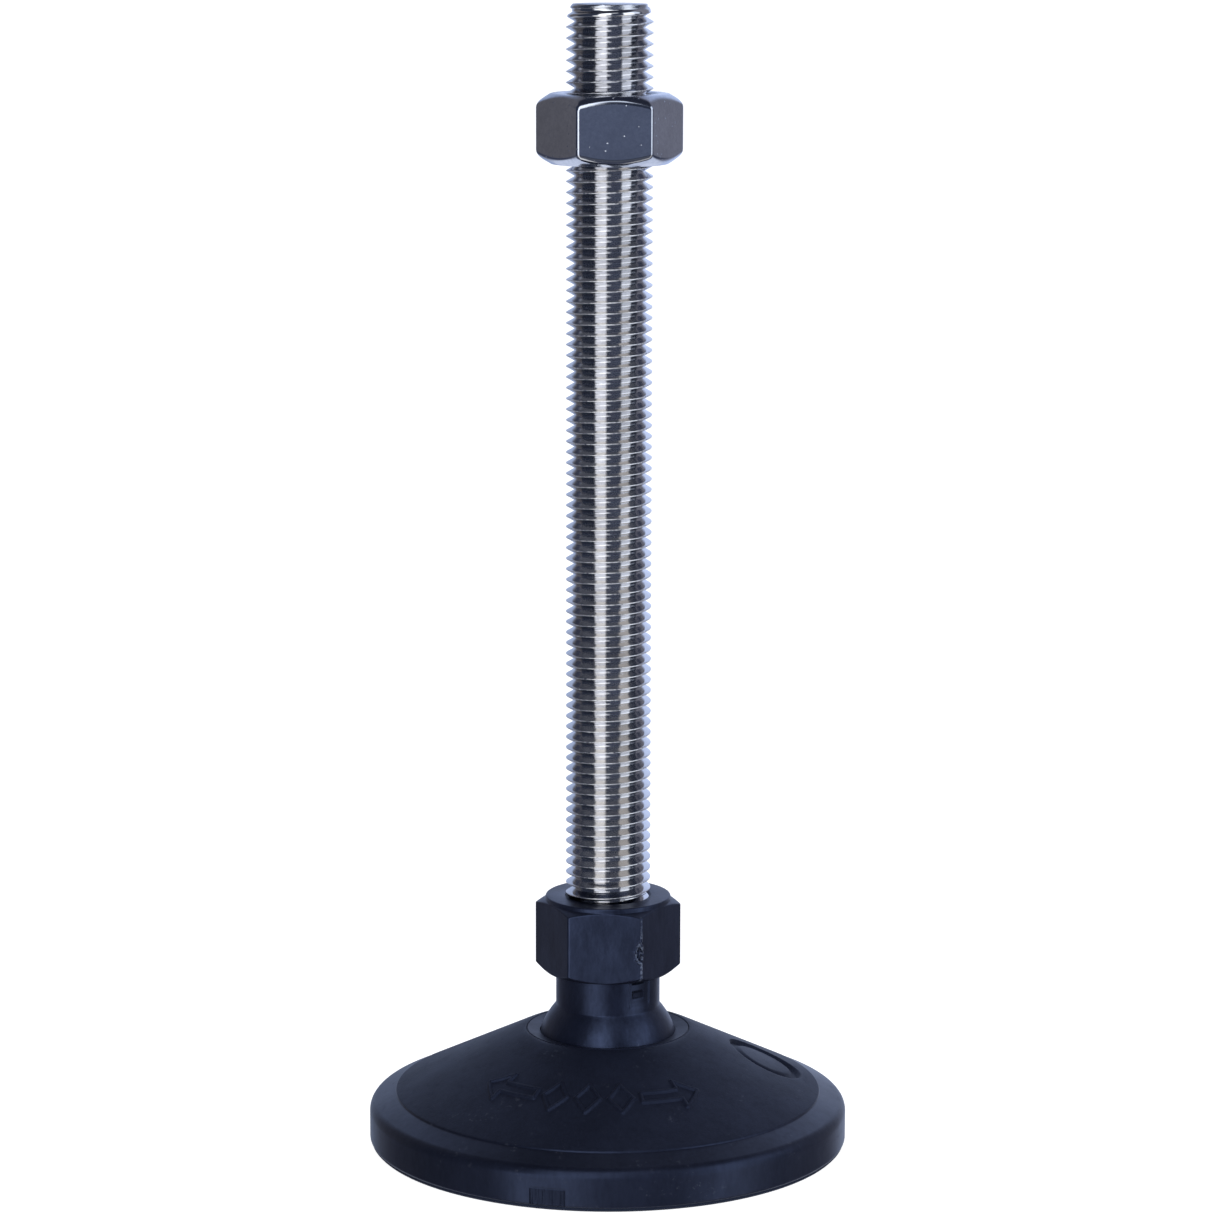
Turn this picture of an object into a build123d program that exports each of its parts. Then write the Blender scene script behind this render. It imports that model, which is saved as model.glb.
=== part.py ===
"""Articulated M16 levelling foot, Ø90 moulded base, swivelling stem, threaded spindle and lock nut.

Millimetres, +Z up. The origin is on the spindle's axis, in the plane of the floor.
Each piece is written to its own file in parts/.
"""
from build123d import *
from math import atan2, cos, hypot, pi, radians, sin, sqrt, tan
import os

# ---- driving dimensions: base ----
BASE_RADIUS = 45.4
BASE_LIFT = 0.7            # the tread pad's rim stands this far proud below the base
RIM_TOP = 7.4              # where the upright rim and the bevel would meet if the corner were sharp
RIM_ROUND = 2.2
BEVEL_RADIUS = 40.4        # the bevel ends here, at a fine step into the cone
BEVEL_TOP = 9.9
STEP_HEIGHT = 0.25
CONE_TOP_RADIUS = 16.6
CONE_TOP = 21.55
CROWN = 21.75
WALL = 3.0
HUB_RADIUS = 19.0
RIB_COUNT = 12
RIB_THICKNESS = 1.8
RING_RIB_RADIUS = 31.0

# ---- driving dimensions: tread pad ----
PAD_THICKNESS = 2.0
PAD_LIP_RADIUS = 45.1
TREAD_DEPTH = 0.8
TREAD_GROOVE = 2.0
TREAD_RINGS = (12.0, 20.0, 28.0, 36.0)
TREAD_SPOKES = 6
STUD_COUNT = 6
STUD_CIRCLE = 36.5
STUD_RADIUS = 1.8
STUD_HEIGHT = 3.0

# ---- driving dimensions: ball joint ----
BALL_RADIUS = 13.4
BALL_HEIGHT = 17.4         # centre of the ball, and of both swivel axes
BALL_CLEARANCE = 0.1
BOWL_CLEARANCE = 0.35
LINER_RADIUS = 15.4
LINER_CLEARANCE = 0.08
LINER_BOTTOM = 9.6
LINER_SLOTS = 6
LINER_SLOT_WIDTH = 1.2
BEAD_HEIGHT = 12.6
BEAD_PROUD = 0.5
OPENING_RADIUS = 13.0
OPENING_DROP = 0.45        # the liner's top face slopes down to the opening by this much
THRUST_RADIUS = 8.0
THRUST_SEAT = 2.8

# ---- driving dimensions: stem ----
NECK_RADIUS = 9.85
HEX_ACROSS_FLATS = 24.0
HEX_BOTTOM = 33.3
HEX_HEIGHT = 13.65
HEX_TURN = -2.8            # degrees, as the collar happens to stand
CHAMFER_ANGLE = 30.0
HEX_TOP_ANGLE = 24.0       # the collar's upper chamfer is a little flatter
COLLAR_CHAMFER_RADIUS = 11.85
BOSS_RADIUS = 11.85
BOSS_TOP = 47.8
RECESS_RADIUS = 8.5
RECESS_DEPTH = 0.8

# ---- driving dimensions: spindle and nut, M16 x 2 ----
THREAD_RADIUS = 8.0
THREAD_ROOT_RADIUS = 6.77
SPINDLE_TOP = 214.5
SPINDLE_BOTTOM = 15.0
TIP_RADIUS = 6.7
TIP_CHAMFER = 1.4
FREE_END_START = 198.8     # a fine relief just above the nut marks where the free end starts
RELIEF_WIDTH = 0.8
RELIEF_DEPTH = 0.25
ANCHOR_GROOVES = (20.0, 26.0)
ANCHOR_GROOVE_WIDTH = 2.4
NUT_BOTTOM = 185.6
NUT_HEIGHT = 12.8
NUT_TURN = 4.7             # degrees, as the nut happens to stand
NUT_CORNER_RADIUS = 13.5   # stock nut corners are slightly rounded off
NUT_CHAMFER_RADIUS = 10.8
NUT_BORE_RADIUS = 8.06
NUT_COUNTERSINK_RADIUS = 8.7


def revolved(face):
    """Turn a face drawn in the XZ plane round the Z axis."""
    return revolve(face, axis=Axis.Z, revolution_arc=360)


def outline(points):
    """A closed face in the XZ plane through (radius, height) points."""
    return make_face(Plane.XZ * Polyline(*points, close=True))


def disc(radius, bottom, top):
    """An upright cylinder on the Z axis."""
    return Pos(0, 0, bottom) * Cylinder(radius, top - bottom, align=(Align.CENTER, Align.CENTER, Align.MIN))


def ring(outer, inner, bottom, top):
    return disc(outer, bottom, top) - disc(inner, bottom - 1, top + 1)


def ball(radius):
    return Pos(0, 0, BALL_HEIGHT) * Sphere(radius)


def cone_height(radius, inset=0.0):
    """Height of the cone's surface at a radius, moved inward by a wall thickness."""
    slope = (CONE_TOP - BEVEL_TOP) / (BEVEL_RADIUS - CONE_TOP_RADIUS)
    return BEVEL_TOP + slope * (BEVEL_RADIUS - radius) - inset * hypot(1, slope)


def around(count, radius):
    """Places evenly spaced on a circle, each turned to face outward."""
    return [Rot(0, 0, 360 / count * i) * Pos(radius, 0, 0) for i in range(count)]


def hex_prism(across_flats, bottom, height, chamfer_radius, turn, corner_radius=None, top_angle=CHAMFER_ANGLE):
    """A hexagon bar with turned chamfers at both ends, a flat facing -Y when turn is 0."""
    apothem = across_flats / 2
    corner = apothem / cos(radians(30))
    body = Pos(0, 0, bottom) * extrude(RegularPolygon(corner, 6, rotation=0), height)
    reach = corner_radius or corner + 1
    rise = (reach - chamfer_radius) * tan(radians(CHAMFER_ANGLE))
    drop = (reach - chamfer_radius) * tan(radians(top_angle))
    top = bottom + height
    turned = revolved(outline([
        (0, bottom), (chamfer_radius, bottom), (reach, bottom + rise),
        (reach, top - drop), (chamfer_radius, top), (0, top),
    ]))
    return Rot(0, 0, turn) * (body & turned)


def base_outside():
    """The base as a solid lump: upright rim, rounded shoulder, bevel, fine step and cone."""
    bevel_angle = atan2(BEVEL_TOP - RIM_TOP, BASE_RADIUS - BEVEL_RADIUS)
    setback = RIM_ROUND * tan((pi / 2 - bevel_angle) / 2)
    bevel_start = (BASE_RADIUS - setback * cos(bevel_angle), RIM_TOP + setback * sin(bevel_angle))
    rim_end = (BASE_RADIUS, RIM_TOP - setback)
    middle = (pi / 2 - bevel_angle) / 2
    shoulder = (
        BASE_RADIUS - RIM_ROUND * (1 - cos(middle)),
        RIM_TOP - setback + RIM_ROUND * sin(middle),
    )
    with BuildSketch(Plane.XZ) as profile:
        with BuildLine():
            Polyline((0, BASE_LIFT), (BASE_RADIUS - 0.4, BASE_LIFT), (BASE_RADIUS, BASE_LIFT + 0.4), rim_end)
            ThreePointArc(rim_end, shoulder, bevel_start)
            Polyline(
                bevel_start, (BEVEL_RADIUS, BEVEL_TOP - STEP_HEIGHT), (BEVEL_RADIUS, BEVEL_TOP),
                (CONE_TOP_RADIUS, CONE_TOP), (LINER_RADIUS + 0.4, CROWN), (0, CROWN), (0, BASE_LIFT),
            )
        make_face()
    return revolved(profile.sketch)


def base_shell():
    """Moulded base: a shell with a hub, radial ribs, one ring rib and blind sockets for the pad's studs."""
    rim_inside = BASE_RADIUS - WALL
    hollow = revolved(outline([
        (HUB_RADIUS, BASE_LIFT - 1), (rim_inside, BASE_LIFT - 1),
        (rim_inside, RIM_TOP - WALL / 2), (BEVEL_RADIUS - WALL, cone_height(BEVEL_RADIUS - WALL, WALL)),
        (HUB_RADIUS, cone_height(HUB_RADIUS, WALL)),
    ]))
    web_height = CROWN - PAD_THICKNESS
    rib_length = rim_inside - HUB_RADIUS + 2
    rib = Box(rib_length, RIB_THICKNESS, web_height, align=(Align.MIN, Align.CENTER, Align.MIN))
    ribs = [Rot(0, 0, 360 / RIB_COUNT * (i + 0.5)) * Pos(HUB_RADIUS - 1, 0, PAD_THICKNESS) * rib
            for i in range(RIB_COUNT)]
    webs = Part() + ribs
    webs += ring(RING_RIB_RADIUS + RIB_THICKNESS / 2, RING_RIB_RADIUS - RIB_THICKNESS / 2, PAD_THICKNESS, CROWN)
    sleeve = Pos(0, 0, PAD_THICKNESS) * Cylinder(
        STUD_RADIUS + 1.6, web_height, align=(Align.CENTER, Align.CENTER, Align.MIN))
    webs += [place * sleeve for place in around(STUD_COUNT, STUD_CIRCLE)]
    shell = base_outside() - (hollow - webs)

    pad_recess = disc(BASE_RADIUS - WALL, BASE_LIFT - 1, PAD_THICKNESS)
    shell -= pad_recess
    socket = Pos(0, 0, BASE_LIFT) * Cylinder(
        STUD_RADIUS, PAD_THICKNESS + STUD_HEIGHT - BASE_LIFT, align=(Align.CENTER, Align.CENTER, Align.MIN))
    shell -= [place * socket for place in around(STUD_COUNT, STUD_CIRCLE)]

    bore = LINER_RADIUS + LINER_CLEARANCE
    shell -= disc(bore, LINER_BOTTOM, CROWN + 1)
    shell -= bead(LINER_CLEARANCE)
    shell -= ball(BALL_RADIUS + BOWL_CLEARANCE)
    shell -= disc(THRUST_RADIUS, THRUST_SEAT, BALL_HEIGHT)
    return shell


def bead(clearance):
    """The liner's snap bead, or with a clearance the groove that it turns in."""
    inner = LINER_RADIUS - 1
    proud = LINER_RADIUS + BEAD_PROUD + clearance
    half = BEAD_PROUD + clearance
    return revolved(outline([
        (inner, BEAD_HEIGHT - half - 0.6), (LINER_RADIUS, BEAD_HEIGHT - half - 0.6),
        (proud, BEAD_HEIGHT - 0.6), (proud, BEAD_HEIGHT + 0.6),
        (LINER_RADIUS, BEAD_HEIGHT + half + 0.6), (inner, BEAD_HEIGHT + half + 0.6),
    ]))


def tread_pad():
    """Rubber pad: a disc with a lip under the base's rim, moulded tread below and studs above."""
    pad = disc(BASE_RADIUS - WALL - 0.05, 0, PAD_THICKNESS)
    pad += revolved(outline([
        (0, 0), (PAD_LIP_RADIUS - 0.3, 0), (PAD_LIP_RADIUS, 0.3), (PAD_LIP_RADIUS, BASE_LIFT), (0, BASE_LIFT),
    ]))
    stud = Pos(0, 0, PAD_THICKNESS) * Cylinder(
        STUD_RADIUS, STUD_HEIGHT - 0.3, align=(Align.CENTER, Align.CENTER, Align.MIN))
    pad += [place * stud for place in around(STUD_COUNT, STUD_CIRCLE)]
    groove = TREAD_GROOVE / 2
    for radius in TREAD_RINGS:
        pad -= ring(radius + groove, radius - groove, -1, TREAD_DEPTH)
    spoke_length = TREAD_RINGS[-1] - TREAD_RINGS[0]
    spoke = Box(spoke_length, TREAD_GROOVE, TREAD_DEPTH + 1, align=(Align.MIN, Align.CENTER, Align.MIN))
    pad -= [Rot(0, 0, 360 / TREAD_SPOKES * i) * Pos(TREAD_RINGS[0], 0, -1) * spoke
            for i in range(TREAD_SPOKES)]
    return pad


def socket_liner():
    """Slotted liner snapped over the ball; its sloping top face is the ring seen round the stem."""
    liner = revolved(outline([
        (8.0, LINER_BOTTOM), (LINER_RADIUS, LINER_BOTTOM), (LINER_RADIUS, CROWN - 0.15),
        (LINER_RADIUS - 0.15, CROWN), (OPENING_RADIUS, CROWN - OPENING_DROP), (8.0, CROWN - OPENING_DROP),
    ]))
    liner += bead(0) - disc(LINER_RADIUS - 0.5, 0, CROWN)
    liner -= ball(BALL_RADIUS + BALL_CLEARANCE)
    slot = Box(20, LINER_SLOT_WIDTH, BALL_HEIGHT - LINER_BOTTOM + 1, align=(Align.MIN, Align.CENTER, Align.MIN))
    liner -= [Rot(0, 0, 360 / LINER_SLOTS * i) * Pos(0, 0, LINER_BOTTOM - 1) * slot
              for i in range(LINER_SLOTS)]
    return liner


def thrust_cup():
    """Dished steel disc in the hub's floor that the ball bears on."""
    rim_height = BALL_HEIGHT - sqrt((BALL_RADIUS + BOWL_CLEARANCE) ** 2 - THRUST_RADIUS ** 2)
    return disc(THRUST_RADIUS, THRUST_SEAT, rim_height) - ball(BALL_RADIUS + 0.05)


def threaded_spindle():
    """M16 spindle, drawn at the thread's major diameter, with anchor grooves inside the moulded stem."""
    spindle = revolved(outline([
        (0, SPINDLE_BOTTOM), (THREAD_RADIUS - 1, SPINDLE_BOTTOM), (THREAD_RADIUS, SPINDLE_BOTTOM + 1),
        (THREAD_RADIUS, SPINDLE_TOP - TIP_CHAMFER), (TIP_RADIUS, SPINDLE_TOP), (0, SPINDLE_TOP),
    ]))
    for height in ANCHOR_GROOVES:
        spindle -= ring(THREAD_RADIUS + 1, THREAD_ROOT_RADIUS, height, height + ANCHOR_GROOVE_WIDTH)
    relief = ring(THREAD_RADIUS + 1, THREAD_RADIUS - RELIEF_DEPTH, FREE_END_START - RELIEF_WIDTH, FREE_END_START)
    return spindle - relief


def swivel_stem(spindle):
    """Moulded on the spindle: ball, neck, hexagon collar for the spanner and a low boss with a recess."""
    stem = ball(BALL_RADIUS) + disc(NECK_RADIUS, BALL_HEIGHT, HEX_BOTTOM + 1)
    stem += hex_prism(
        HEX_ACROSS_FLATS, HEX_BOTTOM, HEX_HEIGHT, COLLAR_CHAMFER_RADIUS, HEX_TURN, top_angle=HEX_TOP_ANGLE)
    stem += disc(BOSS_RADIUS, HEX_BOTTOM + HEX_HEIGHT - 1, BOSS_TOP)
    stem -= disc(RECESS_RADIUS, BOSS_TOP - RECESS_DEPTH, BOSS_TOP + 1)
    return stem - spindle


def lock_nut():
    """Hexagon lock nut, bored to pass over the spindle's major diameter, countersunk at both faces."""
    nut = hex_prism(
        HEX_ACROSS_FLATS, NUT_BOTTOM, NUT_HEIGHT, NUT_CHAMFER_RADIUS, NUT_TURN, NUT_CORNER_RADIUS)
    top = NUT_BOTTOM + NUT_HEIGHT
    sink = NUT_COUNTERSINK_RADIUS - NUT_BORE_RADIUS
    return nut - revolved(outline([
        (0, NUT_BOTTOM - 1), (NUT_COUNTERSINK_RADIUS, NUT_BOTTOM - 1), (NUT_COUNTERSINK_RADIUS, NUT_BOTTOM),
        (NUT_BORE_RADIUS, NUT_BOTTOM + sink), (NUT_BORE_RADIUS, top - sink),
        (NUT_COUNTERSINK_RADIUS, top), (NUT_COUNTERSINK_RADIUS, top + 1), (0, top + 1),
    ]))


spindle = threaded_spindle()
pieces = {
    "base_shell": base_shell(),
    "tread_pad": tread_pad(),
    "socket_liner": socket_liner(),
    "thrust_cup": thrust_cup(),
    "swivel_stem": swivel_stem(spindle),
    "threaded_spindle": spindle,
    "lock_nut": lock_nut(),
}

os.makedirs("parts", exist_ok=True)
for name, shape in pieces.items():
    shape.label = name
    export_step(shape, f"parts/{name}.step")
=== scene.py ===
"""Looks for the articulated levelling foot: moulded base, swivel stem, rolled spindle and lock nut."""

from math import asin, atan2, cos, degrees, hypot, pi, radians, sin, tan

import bmesh
import bpy
from mathutils import Matrix, Vector


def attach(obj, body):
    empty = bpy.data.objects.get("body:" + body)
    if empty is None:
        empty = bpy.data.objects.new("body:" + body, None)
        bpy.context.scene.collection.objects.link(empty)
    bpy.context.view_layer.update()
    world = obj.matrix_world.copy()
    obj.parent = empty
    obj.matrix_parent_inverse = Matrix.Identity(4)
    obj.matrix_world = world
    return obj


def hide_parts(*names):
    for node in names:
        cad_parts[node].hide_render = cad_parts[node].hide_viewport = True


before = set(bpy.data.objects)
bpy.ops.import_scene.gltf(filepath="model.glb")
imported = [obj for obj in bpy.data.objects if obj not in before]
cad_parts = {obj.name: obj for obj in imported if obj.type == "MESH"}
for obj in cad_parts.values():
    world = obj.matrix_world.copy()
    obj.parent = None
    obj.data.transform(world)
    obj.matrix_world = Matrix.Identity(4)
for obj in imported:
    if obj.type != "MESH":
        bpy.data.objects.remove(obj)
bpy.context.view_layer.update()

MM = 0.001

# ---- sizes in millimetres ----
# Those that the CAD also has are the same there, except the recess round the spindle, the liner's bore,
# the tip's chamfer and the nut's flats, which follow what shows.
BASE_RADIUS = 45.4
BASE_LIFT = 0.7
RIM_TOP = 7.4
RIM_ROUND = 2.2
BEVEL_RADIUS = 40.4
BEVEL_TOP = 9.9
STEP_HEIGHT = 0.25
CONE_TOP_RADIUS = 16.6
CONE_TOP = 21.55
CROWN = 21.75
LINER_BORE = 15.5
LINER_BOTTOM = 9.6
WALL = 3.0
HUB_RADIUS = 19.0
PAD_THICKNESS = 2.0

BALL_RADIUS = 13.4
BALL_HEIGHT = 17.4
NECK_RADIUS = 9.85
HEX_FLATS = 24.0
HEX_BOTTOM = 33.3
HEX_TOP = 46.95
HEX_TOP_ANGLE = 24.0
HEX_TURN = -2.8
COLLAR_CHAMFER = 11.85
BOSS_RADIUS = 11.85
BOSS_TOP = 47.8
RECESS_RADIUS = 8.03
RECESS_FLOOR = 47.5
EDGE_ROUND = 0.28
COLLAR_ROUND = 0.7
PANEL_FROM = 24.5
PANEL_TO = 54.0
PANEL_BOTTOM = 27.5

PITCH = 2.0
THREAD_RADIUS = 8.0
THREAD_START = 45.9
CREST_AT_FRONT = 182.8
CREST_ROUND = 0.11
ROOT_ROUND = 0.09
SPINDLE_TOP = 214.5
SPINDLE_BOTTOM = 15.0
TIP_RADIUS = 6.8
TIP_CHAMFER = 0.6
TIP_SHOULDER = 7.3
TIP_TAPER = 0.3
END_FILL = 6.4
SHANK_RADIUS = 6.4

NUT_BOTTOM = 185.6
NUT_TOP = 198.4
NUT_TURN = 4.7
NUT_FLATS = 23.6
NUT_CORNER_ROUND = 0.75
NUT_CHAMFER = 10.8
NUT_BORE = 8.06
NUT_SINK = 8.7
NUT_BLEND = 1.7
SLOPE = (CONE_TOP - BEVEL_TOP) / (BEVEL_RADIUS - CONE_TOP_RADIUS)

# the torn nick on the collar's right front edge, measured along the edge and across it
NICK_OFFSET = 0.3
NICK_HALF_WIDTH = 0.62
NICK_HEIGHT = 39.4
NICK_HALF_HEIGHT = 1.6
COLLAR_CORNER = 13.7

# the rectangular insert mark on the rim, left of the front
INSERT_ANGLE = 13.9
INSERT_HEIGHT = 2.2
INSERT_HALF_ANGLE = 4.0
INSERT_HALF_HEIGHT = 1.9
INSERT_SUNK = 0.07
INSERT_LEFT = 10.9


# ---- mesh helpers ----
def finish_mesh(name, mesh_data, body, material, replaced=()):
    """Turn a bmesh in millimetres into a smooth shaded piece that rides on a body."""
    bmesh.ops.scale(mesh_data, vec=(MM, MM, MM), verts=mesh_data.verts)
    bmesh.ops.recalc_face_normals(mesh_data, faces=mesh_data.faces)
    mesh = bpy.data.meshes.new(name)
    mesh_data.to_mesh(mesh)
    mesh_data.free()
    mesh.polygons.foreach_set("use_smooth", [True] * len(mesh.polygons))
    piece = bpy.data.objects.new(name, mesh)
    bpy.context.scene.collection.objects.link(piece)
    mesh.materials.append(material)
    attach(piece, body)
    if replaced:
        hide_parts(*replaced)
    return piece


def polar_skin(rows, angles):
    """A closed skin round the Z axis; each row gives (radius, height) for an angle from the front.

    The first and last rows close on a pole if their radius is 0, and otherwise the skin joins up as a tube.
    """
    skin = bmesh.new()
    loops = []
    for row in rows:
        pole = row(0.0)[0] == 0.0
        if pole:
            loops.append([skin.verts.new((0, 0, row(0.0)[1]))] * len(angles))
            continue
        loop = []
        for angle in angles:
            radius, height = row(angle)
            turn = radians(angle)
            loop.append(skin.verts.new((radius * sin(turn), -radius * cos(turn), height)))
        loops.append(loop)
    closed = rows[0](0.0)[0] != 0.0
    pairs = list(zip(loops, loops[1:]))
    if closed:
        pairs.append((loops[-1], loops[0]))
    count = len(angles)
    for low, high in pairs:
        for i in range(count):
            j = (i + 1) % count
            corners = []
            for vert in (low[i], low[j], high[j], high[i]):
                if vert not in corners:
                    corners.append(vert)
            if len(corners) > 2:
                skin.faces.new(corners)
    return skin


def plain(radius, height):
    """A row of a plain turned profile."""
    return lambda angle: (radius, height)


def spaced(start, end, step):
    count = max(1, round(abs(end - start) / step))
    return [start + (end - start) * i / count for i in range(count)]


def arc_points(centre, radius, start, end, count):
    """Points on an arc in the profile plane; angles in degrees from the outward radius."""
    points = []
    for i in range(count + 1):
        turn = radians(start + (end - start) * i / count)
        points.append((centre[0] + radius * cos(turn), centre[1] + radius * sin(turn)))
    return points


def smooth_step(value, low, high):
    t = min(1.0, max(0.0, (value - low) / (high - low)))
    return t * t * (3 - 2 * t)


def soft_min(a, b, blend):
    """The lower of two values, rounded where they meet."""
    gap = max(blend - abs(a - b), 0.0) / blend
    return min(a, b) - gap * gap * blend / 4


def hex_radius(angle, turn, flats, corner_round):
    """Polar radius of a hexagon with rounded corners, a flat facing the front when turn is 0."""
    local = radians(abs((angle - turn + 30) % 60 - 30))
    apothem = flats / 2
    if tan(local) * apothem <= (apothem - corner_round) * tan(radians(30)):
        return apothem / cos(local)
    centre = (apothem - corner_round) / cos(radians(30))
    off = radians(30) - local
    return centre * cos(off) + (corner_round ** 2 - (centre * sin(off)) ** 2) ** 0.5


def sector_angles(fine_spans, coarse=3.0):
    """Angles right round, with finer steps inside the given (start, end, step) spans."""
    marks = set()
    for angle in spaced(-180, 180, coarse):
        if not any(start < angle < end for start, end, _ in fine_spans):
            marks.add(round(angle, 3))
    for start, end, step in fine_spans:
        for angle in spaced(start, end, step) + [end]:
            marks.add(round((angle + 180) % 360 - 180, 3))
    return sorted(marks)


# ---- materials ----
SHEEN_TINT = (0.42, 0.55, 1.0, 1.0)


def new_material(name):
    material = bpy.data.materials.new(name)
    material.use_nodes = True
    tree = material.node_tree
    shader = tree.nodes["Principled BSDF"]
    return material, tree, shader


def node(tree, kind, **settings):
    made = tree.nodes.new(kind)
    for key, value in settings.items():
        setattr(made, key, value)
    return made


def noise(tree, vector, scale, detail=3.0, roughness=0.55):
    made = node(tree, "ShaderNodeTexNoise")
    made.inputs["Scale"].default_value = scale
    made.inputs["Detail"].default_value = detail
    made.inputs["Roughness"].default_value = roughness
    tree.links.new(vector, made.inputs["Vector"])
    return made.outputs["Fac"]


def ranged(tree, value, low, high, out_low, out_high, smooth=False):
    made = node(tree, "ShaderNodeMapRange")
    if smooth:
        made.interpolation_type = "SMOOTHSTEP"
    for key, number in (("From Min", low), ("From Max", high), ("To Min", out_low), ("To Max", out_high)):
        made.inputs[key].default_value = number
    tree.links.new(value, made.inputs["Value"])
    return made.outputs["Result"]


def math(tree, operation, first, second=None):
    made = node(tree, "ShaderNodeMath", operation=operation)
    for socket, value in zip(made.inputs, (first, second)):
        if value is None:
            continue
        if isinstance(value, (int, float)):
            socket.default_value = value
        else:
            tree.links.new(value, socket)
    return made.outputs["Value"]


def mix_colour(tree, factor, first, second):
    made = node(tree, "ShaderNodeMix", data_type="RGBA")
    tree.links.new(factor, made.inputs["Factor"])
    for socket, value in ((made.inputs[6], first), (made.inputs[7], second)):
        if isinstance(value, tuple):
            socket.default_value = (*value, 1)
        else:
            tree.links.new(value, socket)
    return made.outputs[2]


def bump(tree, height, strength, distance, under=None):
    made = node(tree, "ShaderNodeBump")
    made.inputs["Strength"].default_value = strength
    made.inputs["Distance"].default_value = distance
    tree.links.new(height, made.inputs["Height"])
    if under is not None:
        tree.links.new(under, made.inputs["Normal"])
    return made.outputs["Normal"]


def split_xyz(tree, vector):
    made = node(tree, "ShaderNodeSeparateXYZ")
    tree.links.new(vector, made.inputs["Vector"])
    return made.outputs["X"], made.outputs["Y"], made.outputs["Z"]


def length_of(tree, first, second):
    """The length of a vector with these two parts."""
    squares = [math(tree, "POWER", part, 2.0) for part in (first, second)]
    return math(tree, "SQRT", math(tree, "ADD", *squares))


def within(tree, value, low, high, soft):
    """1 between two places in millimetres, fading at both ends."""
    rise = ranged(tree, value, (low - soft) * MM, (low + soft) * MM, 0, 1)
    return math(tree, "MULTIPLY", rise, ranged(tree, value, (high - soft) * MM, (high + soft) * MM, 1, 0))


def object_point(tree):
    return node(tree, "ShaderNodeTexCoord").outputs["Object"]


def stretched(tree, vector, scale):
    made = node(tree, "ShaderNodeMapping")
    made.inputs["Scale"].default_value = scale
    tree.links.new(vector, made.inputs["Vector"])
    return made.outputs["Vector"]


def haze(tree, point, low, high):
    """Uneven shine of a handled moulding, as a value for the specular level."""
    broad = noise(tree, stretched(tree, point, (1.0, 1.0, 0.5)), 170.0, 3.0, 0.6)
    fine = noise(tree, stretched(tree, point, (1.0, 1.0, 0.35)), 900.0, 3.0, 0.7)
    both = math(tree, "ADD", math(tree, "MULTIPLY", broad, 0.6), math(tree, "MULTIPLY", fine, 0.4))
    return ranged(tree, both, 0.36, 0.64, low, high)


def torn_edge(tree, point, x, y, z):
    """1 on the nick's lip and on the broken line of flash along the collar's right front edge."""
    edge = radians(30 + HEX_TURN)
    across = math(tree, "ADD", math(tree, "MULTIPLY", x, cos(edge)), math(tree, "MULTIPLY", y, sin(edge)))
    line = ranged(tree, math(tree, "ABSOLUTE", across), 0.12 * MM, 0.32 * MM, 1, 0, smooth=True)
    pit_across = math(tree, "DIVIDE", math(tree, "ADD", across, NICK_OFFSET * MM), NICK_HALF_WIDTH * MM)
    pit_up = math(tree, "DIVIDE", math(tree, "SUBTRACT", z, NICK_HEIGHT * MM), NICK_HALF_HEIGHT * MM)
    off_lip = math(tree, "SUBTRACT", length_of(tree, pit_across, pit_up), 1.05)
    lip = ranged(tree, math(tree, "ABSOLUTE", off_lip), 0.1, 0.3, 1, 0, smooth=True)
    gaps = ranged(tree, noise(tree, point, 520.0, 1.0, 0.5), 0.44, 0.56, 0.1, 1)
    near = math(tree, "MAXIMUM", line, math(tree, "MULTIPLY", lip, gaps))
    front = ranged(tree, y, -11.8 * MM, -11.2 * MM, 1, 0)
    lower = ranged(tree, z, 42.5 * MM, 43.5 * MM, 1, 0.4)
    broken = ranged(tree, noise(tree, point, 1300.0, 2.0, 0.6), 0.42, 0.6, 0, 1)
    return math(tree, "MULTIPLY", math(tree, "MULTIPLY", near, front), math(tree, "MULTIPLY", lower, broken))


def window_shade(tree, x, y, z):
    """How much shine the sunk window on the neck loses, and its two pockets lose more."""
    front = ranged(tree, y, -5.0 * MM, -4.0 * MM, 1, 0)
    window = math(tree, "MULTIPLY", within(tree, x, 4.2, 8.0, 0.15),
                  math(tree, "MULTIPLY", within(tree, z, PANEL_BOTTOM + 0.4, HEX_BOTTOM, 0.3), front))
    pockets = math(tree, "MAXIMUM", within(tree, z, 29.5, 30.8, 0.15), within(tree, z, 32.3, 33.4, 0.15))
    pockets = math(tree, "MULTIPLY", pockets, within(tree, x, 4.6, 6.9, 0.2))
    return math(tree, "MULTIPLY", window, math(tree, "ADD", 0.3, math(tree, "MULTIPLY", pockets, 0.45)))


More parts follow.
